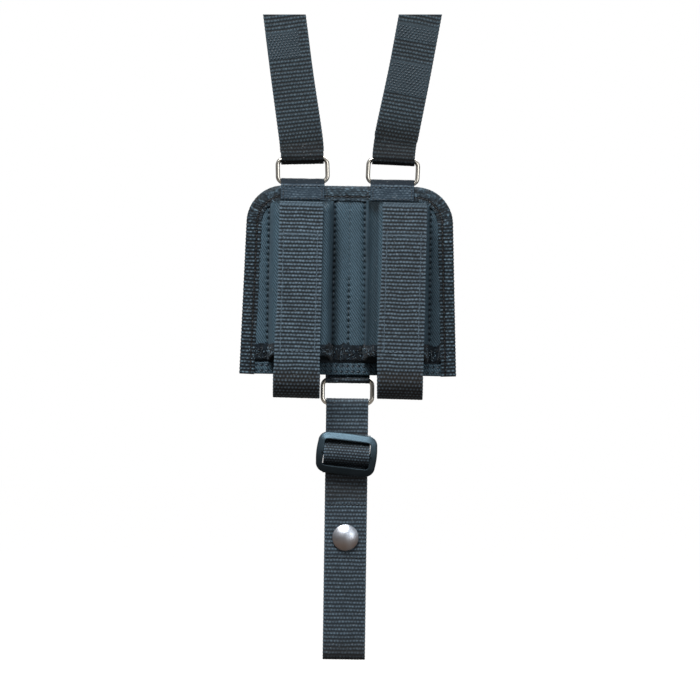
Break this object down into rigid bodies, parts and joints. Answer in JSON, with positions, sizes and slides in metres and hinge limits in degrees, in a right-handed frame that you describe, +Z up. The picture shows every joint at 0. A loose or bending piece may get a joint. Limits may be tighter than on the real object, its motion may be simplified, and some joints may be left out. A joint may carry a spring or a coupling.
{
  "type": "twin pouch harness panel",
  "caption": "Dark nylon panel with twin narrow pouches closed by webbing flaps, wire rings for shoulder webbing, and an adjustable drop strap ending in a snap belt loop.",
  "frame": {"origin": "centre of the flat rear face of the panel, halfway between its top and bottom edges", "axes": "+X to the right seen from the front, +Y out of the rear face towards the wearer, +Z up along the hanging strap line; the front with the pouches faces -Y"},
  "size_m": [0.126, 0.031, 0.3747],
  "materials": {
    "cover_fabric": "plain woven nylon, dull",
    "foam": "closed-cell foam sheet",
    "board": "polyethylene board",
    "pocket_twill": "fine diagonal twill, soft sheen",
    "overlock_edge": "overlocked thread edge",
    "binding_tape": "ribbed binding tape",
    "tab_tape": "flat twill tape",
    "touch_tape": "hook and loop tape",
    "flap_webbing": "heavy woven nylon webbing",
    "shoulder_webbing": "heavy woven nylon webbing",
    "drop_webbing": "heavy woven nylon webbing",
    "dark_thread": "bonded nylon thread",
    "light_thread": "bonded nylon thread",
    "ring_steel": "nickel-plated wire",
    "slider_plastic": "moulded nylon, satin",
    "snap_steel": "spun steel, nickel finish"
  },
  "bodies": {
    "panel": {"back_cover": "cover_fabric", "foam_pad": "foam", "stiffener_board": "board", "front_cover": "cover_fabric", "pocket_sheet": "pocket_twill", "pocket_lip_tape": "overlock_edge", "edge_binding": "binding_tape", "bottom_hem": "pocket_twill", "left_ring_tab": "tab_tape", "right_ring_tab": "tab_tape", "bottom_ring_tab": "tab_tape", "left_loop_tape": "touch_tape", "right_loop_tape": "touch_tape", "left_flap_anchor": "flap_webbing", "right_flap_anchor": "flap_webbing", "pocket_stitching": "dark_thread", "binding_stitching": "dark_thread", "hem_stitching": "dark_thread", "tab_stitching": "light_thread"},
    "left_flap": {"left_flap_strap": "flap_webbing", "left_hook_tape": "touch_tape", "left_flap_stitching": "light_thread"},
    "right_flap": {"right_flap_strap": "flap_webbing", "right_hook_tape": "touch_tape", "right_flap_stitching": "light_thread"},
    "left_ring": {"left_ring": "ring_steel"},
    "right_ring": {"right_ring": "ring_steel"},
    "left_shoulder": {"left_shoulder_strap": "shoulder_webbing", "left_shoulder_stitching": "light_thread"},
    "right_shoulder": {"right_shoulder_strap": "shoulder_webbing", "right_shoulder_stitching": "light_thread"},
    "bottom_ring": {"bottom_ring": "ring_steel"},
    "adjuster_loop": {"adjuster_loop": "drop_webbing"},
    "slider": {"adjuster_slider": "slider_plastic", "slider_webbing": "drop_webbing"},
    "belt_strap": {"belt_strap": "drop_webbing", "snap_patch": "drop_webbing", "belt_strap_stitching": "dark_thread", "snap_cap": "snap_steel", "snap_socket": "snap_steel"},
    "belt_loop_tail": {"belt_loop_tail": "drop_webbing", "snap_stud": "snap_steel", "snap_stud_back": "snap_steel"}
  },
  "joints": [
    {"name": "left_flap_hinge", "type": "hinge", "parent": "panel", "child": "left_flap", "pos_m": [-0.02946, -0.014, -0.06855], "axis": [0.9999, 0, -0.014], "range_deg": [0, 150], "stiffness_Nm_per_rad": 0.01, "springref_deg": -20.05},
    {"name": "right_flap_hinge", "type": "hinge", "parent": "panel", "child": "right_flap", "pos_m": [0.02994, -0.014, -0.06855], "axis": [0.9999, 0, -0.014], "range_deg": [0, 150], "stiffness_Nm_per_rad": 0.01, "springref_deg": -20.05},
    {"name": "left_ring_hinge", "type": "hinge", "parent": "panel", "child": "left_ring", "pos_m": [-0.0275, -0.0043, 0.05645], "axis": [0.9994, 0, 0.0349], "range_deg": [-70, 70], "stiffness_Nm_per_rad": 0.03},
    {"name": "right_ring_hinge", "type": "hinge", "parent": "panel", "child": "right_ring", "pos_m": [0.0243, -0.0043, 0.05645], "axis": [0.9994, 0, -0.0349], "range_deg": [-70, 70], "stiffness_Nm_per_rad": 0.03},
    {"name": "left_shoulder_hinge", "type": "hinge", "parent": "left_ring", "child": "left_shoulder", "pos_m": [-0.02798, -0.0043, 0.07014], "axis": [0.9994, 0, 0.0349], "range_deg": [-70, 70], "stiffness_Nm_per_rad": 0.03},
    {"name": "right_shoulder_hinge", "type": "hinge", "parent": "right_ring", "child": "right_shoulder", "pos_m": [0.02478, -0.0043, 0.07014], "axis": [0.9994, 0, -0.0349], "range_deg": [-70, 70], "stiffness_Nm_per_rad": 0.03},
    {"name": "bottom_ring_hinge", "type": "hinge", "parent": "panel", "child": "bottom_ring", "pos_m": [0, -0.00325, -0.05745], "axis": [1, 0, 0], "range_deg": [-70, 70]},
    {"name": "adjuster_loop_hinge", "type": "hinge", "parent": "bottom_ring", "child": "adjuster_loop", "pos_m": [0, -0.00325, -0.07115], "axis": [1, 0, 0], "range_deg": [-70, 70]},
    {"name": "slider_slide", "type": "slide", "parent": "adjuster_loop", "child": "slider", "axis": [0, 0, 1], "range_m": [-0.01, 0.008], "stiffness_N_per_m": 500},
    {"name": "belt_strap_slide", "type": "slide", "parent": "adjuster_loop", "child": "belt_strap", "axis": [0, 0, 1], "range_m": [-0.008, 0.01]},
    {"name": "belt_loop_hinge", "type": "hinge", "parent": "belt_strap", "child": "belt_loop_tail", "pos_m": [0, 0.00015, -0.2201], "axis": [-1, 0, 0], "range_deg": [0, 165], "stiffness_Nm_per_rad": 0.01, "springref_deg": -20.05}
  ],
  "couplings": [
    {"joint": "belt_strap_slide", "follows": "slider_slide", "ratio": -1}
  ]
}
